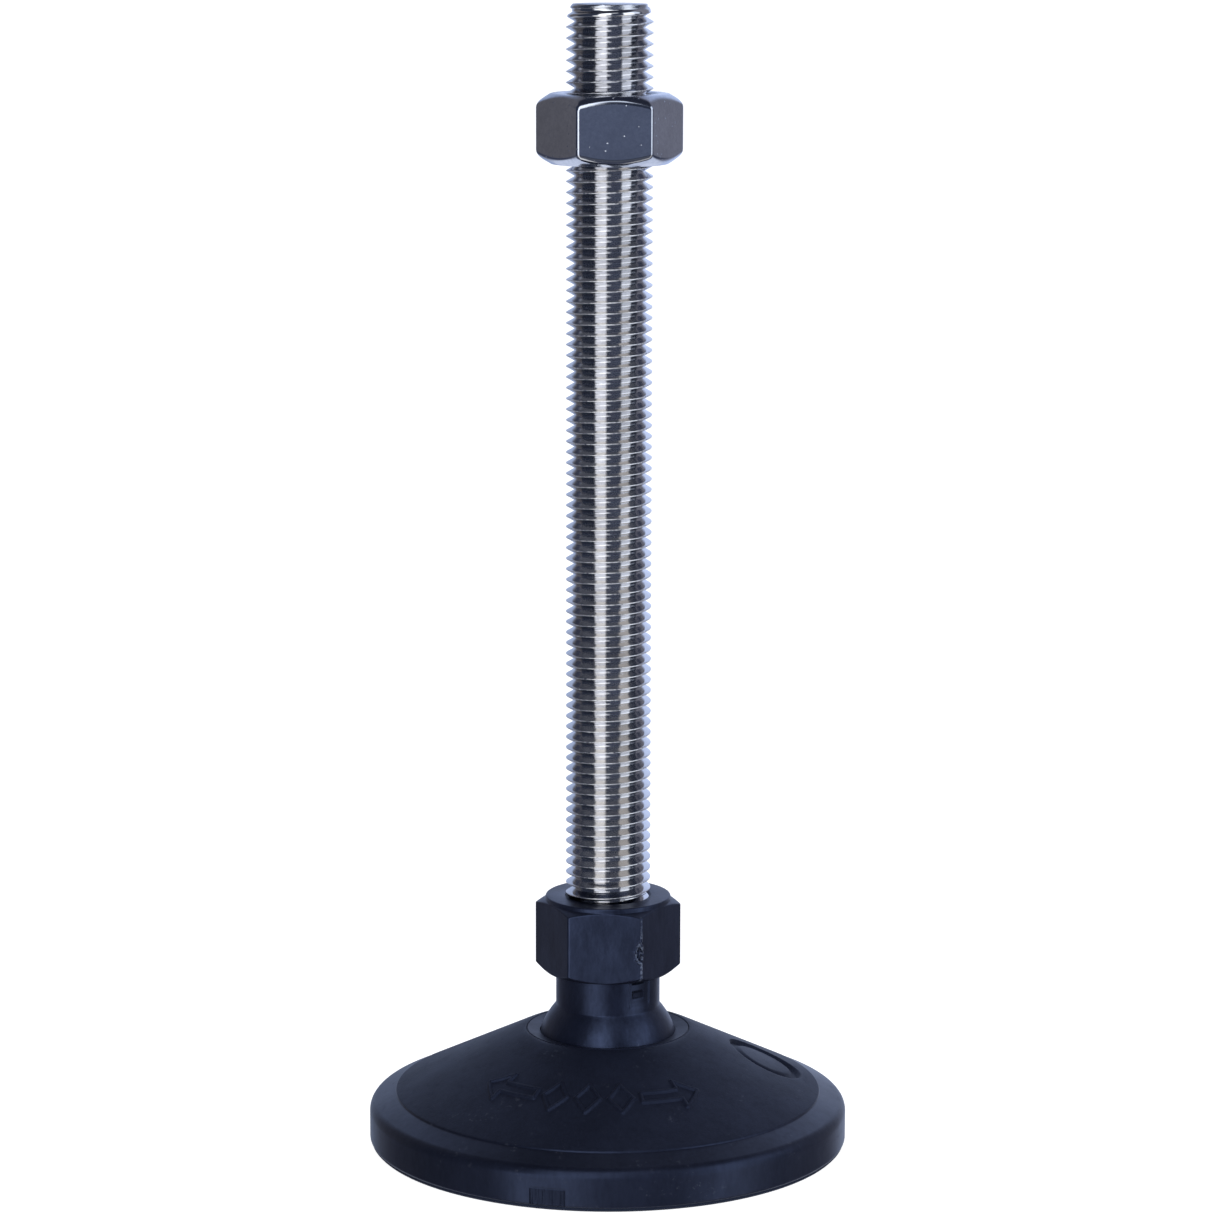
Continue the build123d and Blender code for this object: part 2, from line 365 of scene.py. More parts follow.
def moulded_plastic(name, colour, roughness, grain_scale, grain_strength, shine, worn_edge=False):
    """Black moulding: fine grain, uneven shine and, on the stem, a torn edge and a duller window."""
    material, tree, shader = new_material(name)
    point = object_point(tree)
    flow = noise(tree, point, 60.0)
    grain = noise(tree, point, grain_scale, 2.0, 0.6)
    scuffs = noise(tree, stretched(tree, point, (1.0, 1.0, 7.0)), 300.0, 4.0, 0.7)
    lighter = tuple(channel * 1.5 for channel in colour)
    tint = mix_colour(tree, ranged(tree, flow, 0.35, 0.7, 0, 1), colour, lighter)
    sheen = haze(tree, point, *shine)
    if worn_edge:
        x, y, z = split_xyz(tree, point)
        tint = mix_colour(tree, torn_edge(tree, point, x, y, z), tint, (0.12, 0.14, 0.19))
        sheen = math(tree, "MULTIPLY", sheen, math(tree, "SUBTRACT", 1.0, window_shade(tree, x, y, z)))
    tree.links.new(tint, shader.inputs["Base Color"])
    rough = math(tree, "ADD", ranged(tree, flow, 0.3, 0.7, *roughness),
                 ranged(tree, scuffs, 0.55, 0.75, 0.0, 0.06))
    tree.links.new(rough, shader.inputs["Roughness"])
    shader.inputs["Specular IOR Level"].default_value = sum(shine) / 2
    tree.links.new(sheen, shader.inputs["Specular IOR Level"])
    tree.links.new(bump(tree, grain, grain_strength, 0.00006), shader.inputs["Normal"])
    shader.inputs["IOR"].default_value = 1.55
    shader.inputs["Specular Tint"].default_value = SHEEN_TINT
    return material


def base_plastic():
    """The base's moulding: a matt, dusty cone inside a smoother rim and bevel, with a tooled insert mark."""
    material, tree, shader = new_material("base_plastic")
    point = object_point(tree)
    x, y, z = split_xyz(tree, point)
    radius = length_of(tree, x, y)
    on_cone = ranged(tree, radius, BEVEL_RADIUS * MM, (BEVEL_RADIUS - 0.15) * MM, 0, 1)
    flow = noise(tree, point, 45.0)
    grain = noise(tree, point, 2600.0, 2.0, 0.6)
    scuffs = noise(tree, stretched(tree, point, (1.0, 1.0, 5.0)), 220.0, 5.0, 0.7)
    colour = mix_colour(tree, ranged(tree, flow, 0.3, 0.7, 0, 1), (0.0055, 0.0065, 0.012),
                        (0.009, 0.0105, 0.019))
    dusty = math(tree, "MULTIPLY", ranged(tree, noise(tree, point, 1100.0, 2.0, 0.6), 0.6, 0.7, 0, 1),
                 ranged(tree, noise(tree, point, 130.0, 2.0, 0.6), 0.55, 0.66, 0, 0.5))
    tree.links.new(mix_colour(tree, dusty, colour, (0.06, 0.066, 0.085)), shader.inputs["Base Color"])
    satin = ranged(tree, flow, 0.3, 0.7, 0.31, 0.39)
    matt = ranged(tree, flow, 0.3, 0.7, 0.5, 0.6)
    difference = math(tree, "SUBTRACT", matt, satin)
    rough = math(tree, "ADD", satin, math(tree, "MULTIPLY", on_cone, difference))
    rough = math(tree, "ADD", rough, ranged(tree, scuffs, 0.56, 0.76, 0.0, 0.08))
    tree.links.new(rough, shader.inputs["Roughness"])
    height = math(tree, "MULTIPLY", grain, ranged(tree, on_cone, 0, 1, 0.12, 1.0))
    skin = bump(tree, height, 0.5, 0.00006)
    insert_across = math(tree, "ABSOLUTE", math(tree, "ADD", x, INSERT_LEFT * MM))
    insert = math(tree, "MULTIPLY", ranged(tree, insert_across, 3.0 * MM, 3.3 * MM, 1, 0),
                  math(tree, "MULTIPLY", ranged(tree, y, -42.0 * MM, -41.0 * MM, 1, 0),
                       ranged(tree, z, 3.8 * MM, 4.1 * MM, 1, 0)))
    tooling = noise(tree, stretched(tree, point, (1.0, 0.0, 0.06)), 1300.0, 2.0, 0.7)
    skin = bump(tree, math(tree, "MULTIPLY", tooling, insert), 1.0, 0.0002, skin)
    tree.links.new(skin, shader.inputs["Normal"])
    shine = math(tree, "MULTIPLY", haze(tree, point, 0.36, 0.62), ranged(tree, insert, 0, 1, 1.0, 0.58))
    shader.inputs["Specular IOR Level"].default_value = 0.49
    tree.links.new(shine, shader.inputs["Specular IOR Level"])
    shader.inputs["IOR"].default_value = 1.5
    shader.inputs["Specular Tint"].default_value = SHEEN_TINT
    return material


def stainless(name, colour, roughness, grain, pits=False, thread=False):
    """Stainless steel with drawn streaks and a fine grain.

    A nut also gets small pits and mottling, and a thread gets duller crests painted lighter, as a painted
    highlight, and a dull turned end painted darker, as painted shade.
    """
    material, tree, shader = new_material(name)
    point = object_point(tree)
    shader.inputs["Metallic"].default_value = 1.0
    cloud = noise(tree, point, 140.0, 4.0, 0.6)
    streaks = noise(tree, stretched(tree, point, (1.0, 1.0, 5.0)), 320.0, 4.0, 0.65)
    darker = tuple(channel * 0.82 for channel in colour)
    tint = mix_colour(tree, ranged(tree, cloud, 0.3, 0.7, 0, 1), darker, colour)
    rough = ranged(tree, streaks, 0.3, 0.7, *roughness)
    skin = bump(tree, noise(tree, point, 900.0, 3.0, 0.6), grain, 0.00003)
    if thread:
        x, y, z = split_xyz(tree, point)
        radius = length_of(tree, x, y)
        # crests painted near white and broken up by speckle: a painted highlight along every crest; the
        # added roughness is the crests' duller finish
        crest = ranged(tree, radius, (THREAD_RADIUS - 0.1) * MM, (THREAD_RADIUS - 0.04) * MM, 0, 1)
        speckle = ranged(tree, noise(tree, point, 2200.0, 1.0, 0.5), 0.4, 0.6, 0.45, 1.0)
        crest = math(tree, "MULTIPLY", crest, speckle)
        end = ranged(tree, z, (SPINDLE_TOP - 1.1) * MM, (SPINDLE_TOP - 0.6) * MM, 0, 1)
        tint = mix_colour(tree, crest, tint, (0.98, 0.98, 1.0))
        rough = math(tree, "ADD", rough, math(tree, "MULTIPLY", crest, 0.38))
        rough = math(tree, "ADD", rough, math(tree, "MULTIPLY", end, 0.14))
        # the turned end's colour is pulled towards a dim grey: painted shade on the end, besides its real
        # roughness and tool ridges
        tint = mix_colour(tree, math(tree, "MULTIPLY", end, 0.6), tint, (0.42, 0.44, 0.5))
        ridges = noise(tree, stretched(tree, point, (0.25, 0.25, 1.6)), 1500.0, 3.0, 0.6)
        skin = bump(tree, math(tree, "MULTIPLY", ridges, end), 0.9, 0.0001, skin)
    if pits:
        mottle = ranged(tree, noise(tree, point, 1300.0, 4.0, 0.7), 0.36, 0.64, 0.68, 1)
        tint = mix_colour(tree, mottle, (0.3, 0.32, 0.4), tint)
        cells = node(tree, "ShaderNodeTexVoronoi")
        cells.inputs["Scale"].default_value = 900.0
        tree.links.new(point, cells.inputs["Vector"])
        chosen = ranged(tree, noise(tree, point, 260.0, 1.0, 0.5), 0.5, 0.57, 0, 1)
        pit = math(tree, "MULTIPLY", ranged(tree, cells.outputs["Distance"], 0.04, 0.15, 1.0, 0.0), chosen)
        skin = bump(tree, math(tree, "SUBTRACT", 1.0, pit), 0.6, 0.0001, skin)
    tree.links.new(tint, shader.inputs["Base Color"])
    tree.links.new(rough, shader.inputs["Roughness"])
    tree.links.new(skin, shader.inputs["Normal"])
    return material


def tread_rubber():
    material, tree, shader = new_material("pad_rubber")
    point = object_point(tree)
    flow = noise(tree, point, 90.0)
    tint = mix_colour(tree, flow, (0.005, 0.006, 0.011), (0.01, 0.012, 0.02))
    tree.links.new(tint, shader.inputs["Base Color"])
    shader.inputs["Specular Tint"].default_value = SHEEN_TINT
    tree.links.new(ranged(tree, flow, 0.3, 0.7, 0.62, 0.78), shader.inputs["Roughness"])
    tree.links.new(bump(tree, noise(tree, point, 1800.0, 3.0, 0.6), 0.6, 0.00008), shader.inputs["Normal"])
    return material


BASE_PLASTIC = base_plastic()
STEM_PLASTIC = moulded_plastic("stem_plastic", (0.006, 0.007, 0.013), (0.32, 0.42), 1900.0, 0.35,
                               shine=(0.38, 0.84), worn_edge=True)
LINER_PLASTIC = moulded_plastic("liner_plastic", (0.007, 0.008, 0.015), (0.4, 0.48), 1500.0, 0.25,
                                shine=(0.24, 0.5))
PAD_RUBBER = tread_rubber()
SPINDLE_STEEL = stainless("spindle_steel", (0.72, 0.72, 0.74), (0.07, 0.13), 0.025, thread=True)
NUT_STEEL = stainless("nut_steel", (0.55, 0.58, 0.66), (0.08, 0.15), 0.14, pits=True)
CUP_STEEL = stainless("cup_steel", (0.6, 0.6, 0.62), (0.25, 0.4), 0.1)


# ---- base ----
def cone_height(radius):
    return BEVEL_TOP + SLOPE * (BEVEL_RADIUS - radius)


def box_mark(x, y, half_x, half_y, edge):
    """1 inside a rectangle centred on the origin, falling to 0 over an edge width."""
    outside = max(abs(x) - half_x, abs(y) - half_y)
    return 1 - smooth_step(outside, -edge / 2, edge / 2)


def line_gap(x, y, corners):
    """Distance from a point to a closed line of straight pieces."""
    best = 99.0
    for (ax, ay), (bx, by) in zip(corners, corners[1:] + corners[:1]):
        along = ((x - ax) * (bx - ax) + (y - ay) * (by - ay)) / ((bx - ax) ** 2 + (by - ay) ** 2)
        along = min(1.0, max(0.0, along))
        best = min(best, hypot(x - ax - along * (bx - ax), y - ay - along * (by - ay)))
    return best


def arrow_outline(start, end):
    """A turn arrow from start to end along the ring of marks."""
    way = 1 if end > start else -1
    neck = end - way * 4.0
    return [(start, -1.1), (neck, -1.1), (neck, -3.2), (end, 0.0), (neck, 3.2), (neck, 1.1), (start, 1.1)]


def lozenge_outline(middle):
    return [(middle - 2.3, 0.0), (middle, -3.3), (middle + 2.3, 0.0), (middle, 3.3)]


MARK_RADIUS = 28.0
MARK_HEIGHT = 0.42
MARK_MIDDLE = -3.7
MARKS = [arrow_outline(MARK_MIDDLE + 10.0, MARK_MIDDLE + 21.5),
         arrow_outline(MARK_MIDDLE - 10.0, MARK_MIDDLE - 21.5)]
MARKS += [lozenge_outline(MARK_MIDDLE + shift) for shift in (-6.2, 0.0, 6.2)]
DIAL_ANGLE = 95.0
DIAL_RADIUS = 30.3
DIAL_SIZE = 7.6
DIAL_DEPTH = 0.85
DIAL_RAISED = 0.6


def cone_mark(angle, radius):
    """Height of the marks above the cone: two outlined turn arrows, three lozenges and a blank dial."""
    along = radians(angle) * MARK_RADIUS
    out = radius - MARK_RADIUS
    height = 0.0
    if abs(along - MARK_MIDDLE) < 23 and abs(out) < 4.2:
        gap = min(line_gap(along, out, mark) for mark in MARKS)
        height = MARK_HEIGHT * (1 - smooth_step(gap, 0.14, 0.5))
    turn = radians(angle - DIAL_ANGLE)
    if abs(turn) < 0.6:
        distance = hypot(radius * sin(turn), (radius * cos(turn) - DIAL_RADIUS) * hypot(1, SLOPE))
        wall = 1 - smooth_step(distance, DIAL_SIZE - 0.4, DIAL_SIZE)
        floor = 1 - smooth_step(distance, DIAL_SIZE - 2.6, DIAL_SIZE - 1.0)
        height -= DIAL_DEPTH * wall - DIAL_RAISED * floor
    return height


def cone_row(radius):
    tilt = hypot(1, SLOPE)

    def row(angle):
        lift = cone_mark(angle, radius)
        return radius + lift * SLOPE / tilt, cone_height(radius) + lift / tilt
    return row


def rim_row(radius, height):
    """The rim's side, with the shallow rectangular insert mark left of the front."""
    def row(angle):
        inside = box_mark(angle + INSERT_ANGLE, height - INSERT_HEIGHT,
                          INSERT_HALF_ANGLE, INSERT_HALF_HEIGHT, 0.25)
        return radius - INSERT_SUNK * inside, height
    return row


def build_base():
    bevel_angle = atan2(BEVEL_TOP - RIM_TOP, BASE_RADIUS - BEVEL_RADIUS)
    setback = RIM_ROUND * tan((pi / 2 - bevel_angle) / 2)
    shoulder = arc_points((BASE_RADIUS - RIM_ROUND, RIM_TOP - setback), RIM_ROUND, 0,
                          90 - degrees(bevel_angle), 10)
    rows = [plain(HUB_RADIUS, BASE_LIFT + 1.3), plain(BASE_RADIUS - WALL, BASE_LIFT + 1.3),
            plain(BASE_RADIUS - WALL, BASE_LIFT), plain(BASE_RADIUS - 0.45, BASE_LIFT)]
    rows += [plain(r, z) for r, z in arc_points((BASE_RADIUS - 0.4, BASE_LIFT + 0.4), 0.4, -80, -10, 4)]
    rows += [rim_row(BASE_RADIUS, z) for z in spaced(BASE_LIFT + 0.5, RIM_TOP - setback - 0.05, 0.2)]
    rows += [plain(r, z) for r, z in shoulder]
    bevel_start = shoulder[-1]
    bevel_slope = (BEVEL_TOP - STEP_HEIGHT - bevel_start[1]) / (BEVEL_RADIUS - bevel_start[0])
    on_bevel = spaced(bevel_start[0] - 0.15, BEVEL_RADIUS + 0.3, 1.0)
    for radius in on_bevel + [BEVEL_RADIUS + 0.3, BEVEL_RADIUS + 0.12]:
        rows.append(plain(radius, bevel_start[1] + bevel_slope * (radius - bevel_start[0])))
    rows += [plain(BEVEL_RADIUS + 0.05, BEVEL_TOP - STEP_HEIGHT), plain(BEVEL_RADIUS, BEVEL_TOP - 0.12),
             plain(BEVEL_RADIUS - 0.06, BEVEL_TOP)]
    rows += [cone_row(r) for r in spaced(BEVEL_RADIUS - 0.2, 39.0, 0.4)]
    rows += [cone_row(r) for r in spaced(39.0, 32.3, 0.25)]
    rows += [cone_row(r) for r in spaced(32.3, 23.7, 0.12)]
    rows += [cone_row(r) for r in spaced(23.7, 22.6, 0.25)]
    rows += [cone_row(r) for r in spaced(22.6, CONE_TOP_RADIUS + 1.2, 0.6)]
    crown_round = [(CONE_TOP_RADIUS + 1.1, cone_height(CONE_TOP_RADIUS + 1.1)),
                   (CONE_TOP_RADIUS + 0.5, cone_height(CONE_TOP_RADIUS + 0.5) - 0.03),
                   (CONE_TOP_RADIUS, CONE_TOP - 0.08), (CONE_TOP_RADIUS - 0.45, CROWN - 0.1),
                   (LINER_BORE + 0.15, CROWN - 0.02), (LINER_BORE + 0.04, CROWN - 0.04),
                   (LINER_BORE - 0.03, CROWN - 0.12), (LINER_BORE - 0.03, CROWN - 0.4),
                   (LINER_BORE, CROWN - 0.5), (LINER_BORE, LINER_BOTTOM)]
    rows += [plain(r, z) for r, z in crown_round]
    rows += [plain(11.4, LINER_BOTTOM), plain(8.2, 5.0), plain(8.2, PAD_THICKNESS)]
    angles = sector_angles([(-54, 38, 0.27), (78, 112, 0.5)], coarse=2.0)
    return finish_mesh("base_moulding", polar_skin(rows, angles), "base", BASE_PLASTIC,
                       ["base_shell"])


# ---- stem ----
def neck_row(height):
    """The neck, with a shallow sunk window at the front right and two deeper pockets in it."""
    def row(angle):
        edges = smooth_step(angle, PANEL_FROM, PANEL_FROM + 1.2)
        edges *= 1 - smooth_step(angle, PANEL_TO - 3, PANEL_TO)
        edges *= smooth_step(height, PANEL_BOTTOM, PANEL_BOTTOM + 1.2)
        upper = box_mark((angle - 37) / 5.5, height - 32.8, 1.45, 0.45, 0.5)
        lower = box_mark((angle - 36) / 5.5, height - 30.2, 1.2, 0.6, 0.6)
        ridge = 1 - smooth_step(abs(angle - PANEL_FROM), 0.3, 0.9)
        ridge *= smooth_step(height, PANEL_BOTTOM, PANEL_BOTTOM + 1)
        return NECK_RADIUS - 0.22 * edges - 0.4 * max(upper, lower) + 0.08 * ridge, height
    return row


def nick(angle, height):
    """A torn pit with a turned-up lip, and a broken line of flash, on the collar's right front edge."""
    across = radians(angle - 30 - HEX_TURN) * COLLAR_CORNER
    if abs(across) > 1.6:
        return 0.0
    torn = hypot((across + NICK_OFFSET) / NICK_HALF_WIDTH, (height - NICK_HEIGHT) / NICK_HALF_HEIGHT)
    torn += 0.14 * sin(9 * across + 5 * height) + 0.1 * sin(11 * height)
    ragged = (sin(7.1 * height) + sin(13.7 * height + 1) + sin(3.3 * height)) / 3
    flash = smooth_step(ragged, -0.5, 0.5) * smooth_step(height, 33.4, 33.9)
    flash *= 1 - smooth_step(height, 42.2, 43.2)
    depth = 0.5 * (1 - smooth_step(torn, 0.4, 0.85))
    lip = 0.2 * (1 - smooth_step(abs(torn - 1.1), 0.08, 0.34))
    lip *= smooth_step(sin(4.3 * height + 6 * across), -0.6, 0.2)
    return lip - depth + 0.16 * flash * (1 - smooth_step(abs(across), 0.06, 0.3))


def collar_row(height):
    def row(angle):
        flat = hex_radius(angle, HEX_TURN, HEX_FLATS, COLLAR_ROUND)
        top = COLLAR_CHAMFER + (HEX_TOP - height) / tan(radians(HEX_TOP_ANGLE))
        bottom = COLLAR_CHAMFER + (height - HEX_BOTTOM) / tan(radians(30))
        radius = soft_min(flat, soft_min(top, bottom, EDGE_ROUND), EDGE_ROUND)
        return radius + nick(angle, height), height
    return row


def build_stem():
    rows = [plain(0.0, BALL_HEIGHT - BALL_RADIUS)]
    neck_start = degrees(asin((NECK_RADIUS + 0.12) / BALL_RADIUS))
    ball = arc_points((0, BALL_HEIGHT), BALL_RADIUS, -87, 90 - neck_start, 56)
    rows += [plain(r, z) for r, z in ball]
    neck_bottom = ball[-1][1] + 0.18
    rows += [neck_row(z) for z in spaced(neck_bottom, HEX_BOTTOM - 0.02, 0.12)]
    rows += [plain(NECK_RADIUS, HEX_BOTTOM - 0.01), plain(NECK_RADIUS + 0.1, HEX_BOTTOM),
             plain(11.4, HEX_BOTTOM)]
    heights = [HEX_BOTTOM + 0.01]
    heights += spaced(HEX_BOTTOM + 0.06, HEX_BOTTOM + 1.8, 0.07)
    heights += spaced(HEX_BOTTOM + 1.8, HEX_TOP - 1.8, 0.12)
    heights += spaced(HEX_TOP - 1.8, HEX_TOP - 0.02, 0.07)
    rows += [collar_row(z) for z in heights]
    rows += [plain(BOSS_RADIUS, z) for z in (HEX_TOP, HEX_TOP + 0.1, HEX_TOP + 0.4)]
    rows += [plain(r, z) for r, z in arc_points((BOSS_RADIUS - 0.32, BOSS_TOP - 0.32), 0.32, 0, 90, 6)]
    rows += [plain(RECESS_RADIUS + 1.2, BOSS_TOP)]
    rows += [plain(r, z) for r, z in arc_points((RECESS_RADIUS + 0.2, BOSS_TOP - 0.2), 0.2, 90, 180, 4)]
    rows += [plain(RECESS_RADIUS, RECESS_FLOOR), plain(SHANK_RADIUS + 0.02, RECESS_FLOOR),
             plain(SHANK_RADIUS + 0.02, SPINDLE_BOTTOM), plain(0.0, SPINDLE_BOTTOM)]
    spans = [(PANEL_FROM - 2, PANEL_TO + 2, 0.5)]
    spans += [(60 * i + 30 + HEX_TURN - 5, 60 * i + 30 + HEX_TURN + 5, 0.4) for i in range(-3, 3)]
    return finish_mesh("stem_moulding", polar_skin(rows, sector_angles(spans)), "stem", STEM_PLASTIC,
                       ["swivel_stem"])


# ---- spindle ----
def thread_profile():
    """(offset along the axis, radius) of one pitch of the 60 degree thread, from one crest to the next."""
    flank = tan(radians(60))
    crest_centre = THREAD_RADIUS - CREST_ROUND
    apex = crest_centre + 2 * CREST_ROUND
    root_centre = apex - PITCH / 2 * flank + 2 * ROOT_ROUND
    half = [(CREST_ROUND * sin(radians(t)), crest_centre + CREST_ROUND * cos(radians(t)))
            for t in (0, 20, 40, 60)]
    half += [(x, apex - x * flank) for x in (0.25, 0.5, 0.75)]
    half += [(PITCH / 2 - ROOT_ROUND * sin(radians(t)), root_centre - ROOT_ROUND * cos(radians(t)))
             for t in (60, 40, 20)]
    mirrored = [(PITCH - x, radius) for x, radius in half[:0:-1]]
    return half + [(PITCH / 2, root_centre - ROOT_ROUND)] + mirrored


def thread_skin(bottom, top, crest_at, steps=72):
    """A right-hand helical skin with open ends; crest_at is a height of the crest at the front."""
    profile = thread_profile()
    first = int((bottom - crest_at) // PITCH) - 1
    last = int((top - crest_at) // PITCH) + 1
    skin = bmesh.new()
    verts = []
    total = (last - first + 1) * steps
    for i in range(total + steps + 1):
        turn = 2 * pi * i / steps
        start = crest_at + PITCH * (first + i / steps)
        for offset, radius in profile:
            verts.append(skin.verts.new((radius * sin(turn), -radius * cos(turn), start + offset)))
    width = len(profile)
    for i in range(total):
        for j in range(width):
            if j + 1 < width:
                corners = (i * width + j, (i + 1) * width + j, (i + 1) * width + j + 1, i * width + j + 1)
            else:
                corners = (i * width + j, (i + 1) * width + j,
                           (i + 1 + steps) * width, (i + steps) * width)
            skin.faces.new([verts[k] for k in corners])
    loose = [v for v in skin.verts if not v.link_faces]
    bmesh.ops.delete(skin, geom=loose, context="VERTS")
    return skin


def cut_and_cap(skin, height, keep_below):
    """Cut a skin with a level plane and close it with a flat face."""
    direction = (0, 0, 1) if keep_below else (0, 0, -1)
    parts = bmesh.ops.bisect_plane(skin, geom=skin.verts[:] + skin.edges[:] + skin.faces[:],
                                   plane_co=(0, 0, height), plane_no=direction, clear_outer=True)
    edges = [e for e in parts["geom_cut"] if isinstance(e, bmesh.types.BMEdge)]
    bmesh.ops.edgeloop_fill(skin, edges=edges)


def build_burr():
    """The thin bright sliver where the thread runs out just above the collar."""
    burr = bmesh.new()
    loops = []
    for i in range(41):
        along = i / 40
        turn = radians(21 + 55 * along)
        size = 0.17 * sin(pi * min(1.0, 0.12 + 0.88 * along) ** 0.6)
        height = 48.42 + 0.35 * along
        loop = []
        for j in range(8):
            out = 7.72 + size * cos(pi * j / 4)
            up = height + size * sin(pi * j / 4)
            loop.append(burr.verts.new((out * sin(turn), -out * cos(turn), up)))
        loops.append(loop)
    for low, high in zip(loops, loops[1:]):
        for j in range(8):
            burr.faces.new((low[j], low[(j + 1) % 8], high[(j + 1) % 8], high[j]))
    burr.faces.new(loops[0])
    burr.faces.new(loops[-1])
    return finish_mesh("thread_burr", burr, "stem", SPINDLE_STEEL)


def build_spindle():
    skin = thread_skin(THREAD_START, SPINDLE_TOP, CREST_AT_FRONT)
    for vert in skin.verts:
        radius = hypot(vert.co.x, vert.co.y)
        below = max(0.0, SPINDLE_TOP - vert.co.z)
        chamfer = TIP_RADIUS + below * (TIP_SHOULDER - TIP_RADIUS) / TIP_CHAMFER
        taper = TIP_SHOULDER + (below - TIP_CHAMFER) * TIP_TAPER
        filled = END_FILL + 0.5 * (1 - smooth_step(below, 1.2, 2.4))
        kept = min(max(radius, filled), chamfer, taper)
        vert.co.x *= kept / radius
        vert.co.y *= kept / radius
    cut_and_cap(skin, SPINDLE_TOP, keep_below=True)
    cut_and_cap(skin, THREAD_START, keep_below=False)
    shank = polar_skin([plain(0.0, SPINDLE_BOTTOM), plain(SHANK_RADIUS - 0.8, SPINDLE_BOTTOM),
                        plain(SHANK_RADIUS, SPINDLE_BOTTOM + 0.8), plain(SHANK_RADIUS, THREAD_START + 0.4),
                        plain(0.0, THREAD_START + 0.4)], spaced(-180, 180, 5))
    shank_mesh = bpy.data.meshes.new("shank")
    shank.to_mesh(shank_mesh)
    shank.free()
    skin.from_mesh(shank_mesh)
    return finish_mesh("spindle_thread", skin, "stem", SPINDLE_STEEL,
                       ["threaded_spindle"])


# ---- nut ----
def nut_row(height):
    def row(angle):
        flat = hex_radius(angle, NUT_TURN, NUT_FLATS, NUT_CORNER_ROUND)
        grow = 1 / tan(radians(30))
        top = NUT_CHAMFER + (NUT_TOP - height) * grow
        bottom = NUT_CHAMFER + (height - NUT_BOTTOM) * grow
        return soft_min(flat, min(top, bottom), NUT_BLEND), height
    return row


def build_nut():
    sink = NUT_SINK - NUT_BORE
    rows = [plain(NUT_BORE, NUT_BOTTOM + sink), plain(NUT_SINK, NUT_BOTTOM + 0.03),
            plain(NUT_SINK + 0.1, NUT_BOTTOM), plain(NUT_CHAMFER - 0.25, NUT_BOTTOM)]
    heights = [NUT_BOTTOM + 0.01] + spaced(NUT_BOTTOM + 0.06, NUT_BOTTOM + 2.2, 0.07)
    heights += spaced(NUT_BOTTOM + 2.2, NUT_TOP - 2.2, 0.3)
    heights += spaced(NUT_TOP - 2.2, NUT_TOP - 0.02, 0.07)
    rows += [nut_row(z) for z in heights]
    rows += [plain(NUT_CHAMFER - 0.25, NUT_TOP), plain(NUT_SINK + 0.1, NUT_TOP),
             plain(NUT_SINK, NUT_TOP - 0.03), plain(NUT_BORE, NUT_TOP - sink)]
    spans = [(60 * i + 30 + NUT_TURN - 7, 60 * i + 30 + NUT_TURN + 7, 0.5) for i in range(-3, 3)]
    return finish_mesh("nut_turned", polar_skin(rows, sector_angles(spans)), "nut", NUT_STEEL,
                       ["lock_nut"])


build_base()
build_stem()
build_spindle()
build_burr()
build_nut()

CARRIED = {"tread_pad": PAD_RUBBER, "socket_liner": LINER_PLASTIC, "thrust_cup": CUP_STEEL}
for name, material in CARRIED.items():
    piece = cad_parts[name]
    piece.data.materials.clear()
    piece.data.materials.append(material)


# ---- floor, light and camera ----
def build_floor():
    bpy.ops.mesh.primitive_plane_add(size=60.0, location=(0, 0, 0))
    floor = bpy.context.object
    floor.name = "floor"
    material, tree, shader = new_material("floor_paper")
    shader.inputs["Base Color"].default_value = (0.5, 0.5, 0.5, 1)
    shader.inputs["Roughness"].default_value = 0.9
    shader.inputs["Specular IOR Level"].default_value = 0.0
    shader.inputs["Emission Color"].default_value = (1, 1, 1, 1)
    shader.inputs["Emission Strength"].default_value = 0.9
    floor.data.materials.append(material)
    floor.visible_glossy = False


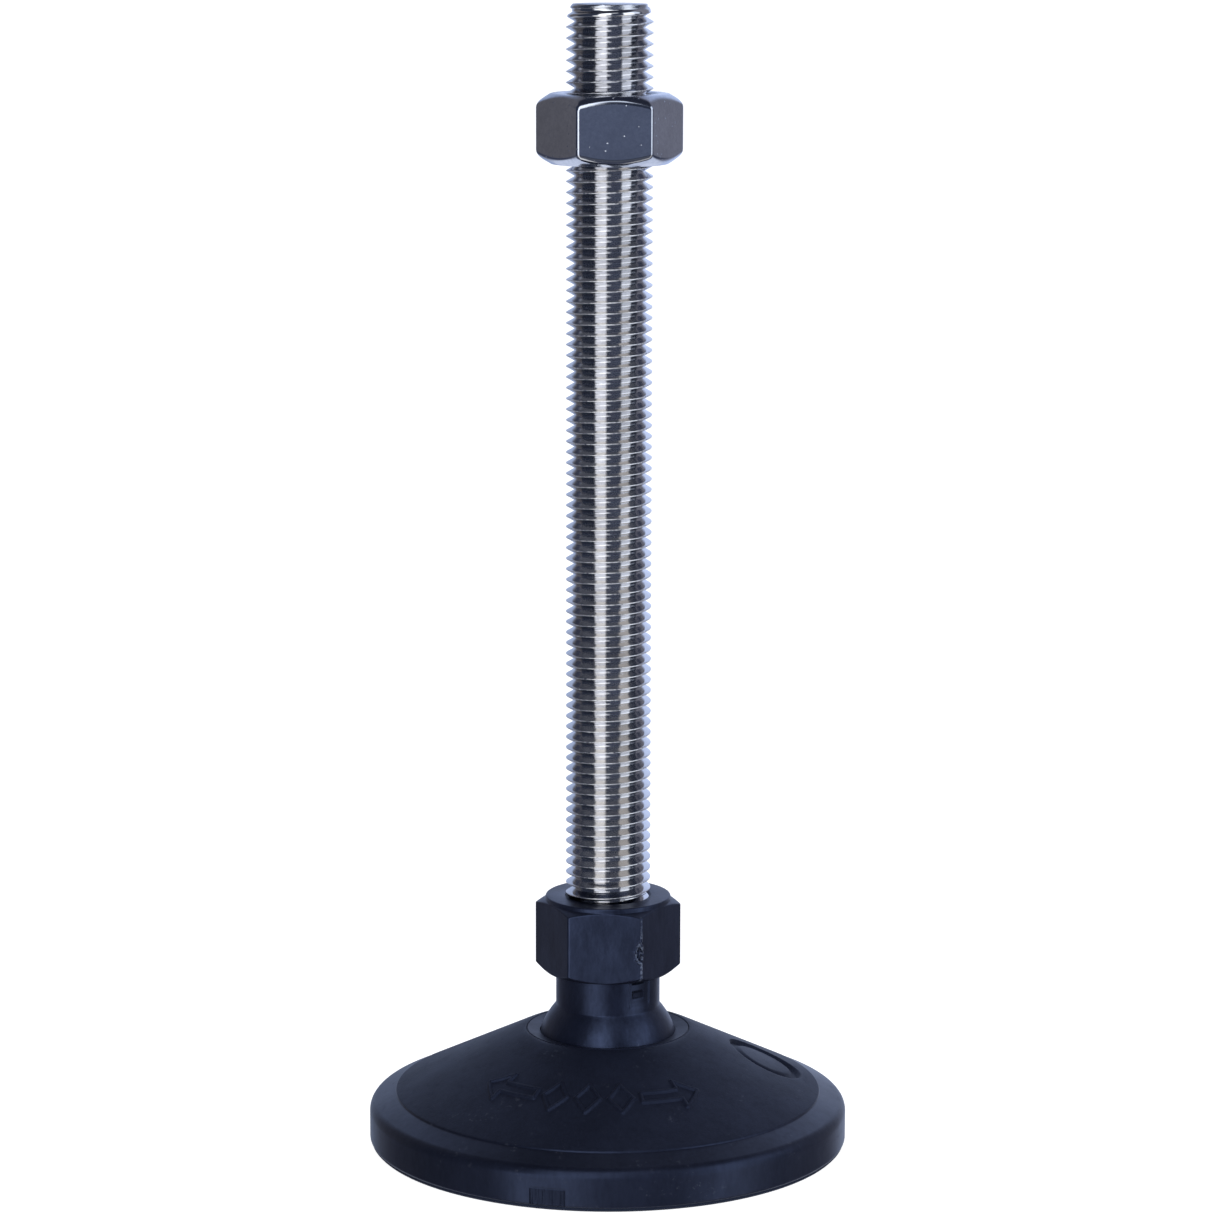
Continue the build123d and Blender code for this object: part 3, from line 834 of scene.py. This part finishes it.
def build_world():
    """White to the camera; reflections see a dark studio with two tall softboxes and a brighter back."""
    world = bpy.data.worlds.new("studio")
    world.use_nodes = True
    bpy.context.scene.world = world
    tree = world.node_tree
    x, y, z = split_xyz(tree, node(tree, "ShaderNodeTexCoord").outputs["Generated"])
    # in degrees: around from the front, positive to the right, away the same unsigned, height above level
    around = math(tree, "DEGREES", math(tree, "ARCTAN2", x, math(tree, "MULTIPLY", y, -1.0)))
    height = math(tree, "DEGREES", math(tree, "ARCSINE", z))
    away = math(tree, "ABSOLUTE", around)
    leaning = math(tree, "SUBTRACT", around, ranged(tree, height, 0, 14, -13.0, 0.0))
    right = ranged(tree, x, -0.04, 0.04, 0, 1, smooth=True)

    def ramp(value, low, high):
        return ranged(tree, value, low, high, 0, 1, smooth=True)

    def band(value, low, high, soft):
        fall = ranged(tree, value, high - soft, high + soft, 1, 0, smooth=True)
        return math(tree, "MULTIPLY", ramp(value, low - soft, low + soft), fall)

    def both(first, second):
        return math(tree, "MULTIPLY", first, second)

    def sides(left_paint, right_paint):
        return mix_colour(tree, right, left_paint, right_paint)

    main = band(leaning, -33.5, 3, 4.0)
    side = band(around, 41, 75, 3.0)
    boxes_low = band(height, -78, -24, 5.0)
    # each paint covers those before it wherever its mask is 1
    layers = [
        (sides((0.165, 0.16, 0.175), (0.25, 0.255, 0.31)), band(away, 104, 200, 4.0)),
        ((0.07, 0.08, 0.125), both(band(away, 109, 134, 4.0), band(height, -32, -11, 3.0))),
        ((0.14, 0.165, 0.24), both(band(around, -4, 38, 4.0), band(height, -20, 10, 5.0))),
        ((0.03, 0.035, 0.055), ramp(height, 50, 62)),
        ((0.13, 0.14, 0.17), ramp(height, -24, -34)),
        ((0.09, 0.10, 0.14), ramp(height, -48, -54)),
        (sides((0.44, 0.53, 0.76), (0.68, 0.8, 1.12)),
         both(ramp(away, 136, 156), band(height, -60, 46, 9.0))),
        ((0.95, 1.02, 1.2), both(ramp(away, 104, 124), ramp(height, -24, -34))),
        ((0.9, 1.0, 1.2), both(band(around, 62, 96, 4.0), band(height, 14, 50, 6.0))),
        ((1.3, 1.37, 1.5), both(band(around, -25, 28, 6.0), band(height, 50, 63, 4.0))),
        ((0.75, 0.72, 0.68), both(side, boxes_low)),
        ((1.5, 1.6, 1.75), both(side, band(height, -22, 45, 4.0))),
        ((1.35, 1.32, 1.25), both(main, boxes_low)),
        ((1.85, 1.9, 2.0), both(main, band(height, -26, 0, 3.0))),
        ((2.05, 2.12, 2.22), both(main, band(height, -9, 57, 5.0))),
    ]
    colour = (0.04, 0.05, 0.08)
    for paint, mask in layers:
        colour = mix_colour(tree, mask, colour, paint)
    seen = node(tree, "ShaderNodeLightPath").outputs["Is Camera Ray"]
    shown = mix_colour(tree, seen, colour, (1.0, 1.0, 1.0))
    tree.links.new(shown, tree.nodes["Background"].inputs["Color"])


def area_light(name, place, aim, size, power):
    data = bpy.data.lights.new(name, "AREA")
    data.shape = "DISK"
    data.size = size
    data.energy = power
    light = bpy.data.objects.new(name, data)
    light.location = place
    light.rotation_euler = (Vector(aim) - Vector(place)).to_track_quat("-Z", "Y").to_euler()
    light.visible_glossy = False
    bpy.context.scene.collection.objects.link(light)


CAMERA_DISTANCE = 0.7449
CAMERA_HEIGHT = 0.2377
CAMERA_TILT = 10.762
CAMERA_ROLL = 0.12
CAMERA_LENS = 120.069
CAMERA_SHIFT = 0.03
CAMERA_SIDE = -0.0013


def build_camera():
    data = bpy.data.cameras.new("camera")
    data.sensor_width = 36.0
    data.lens = CAMERA_LENS
    data.shift_x = CAMERA_SIDE
    data.shift_y = CAMERA_SHIFT
    camera = bpy.data.objects.new("camera", data)
    camera.location = (0, -CAMERA_DISTANCE, CAMERA_HEIGHT)
    aim = Matrix.Rotation(radians(90 - CAMERA_TILT), 3, "X") @ Matrix.Rotation(radians(CAMERA_ROLL), 3, "Z")
    camera.rotation_euler = aim.to_euler()
    bpy.context.scene.collection.objects.link(camera)
    bpy.context.scene.camera = camera


build_floor()
build_world()
area_light("top_light", (0, 0.2, 1.6), (0, 0, 0), 1.6, 8.0)
build_camera()
bpy.context.scene.view_settings.view_transform = "Standard"
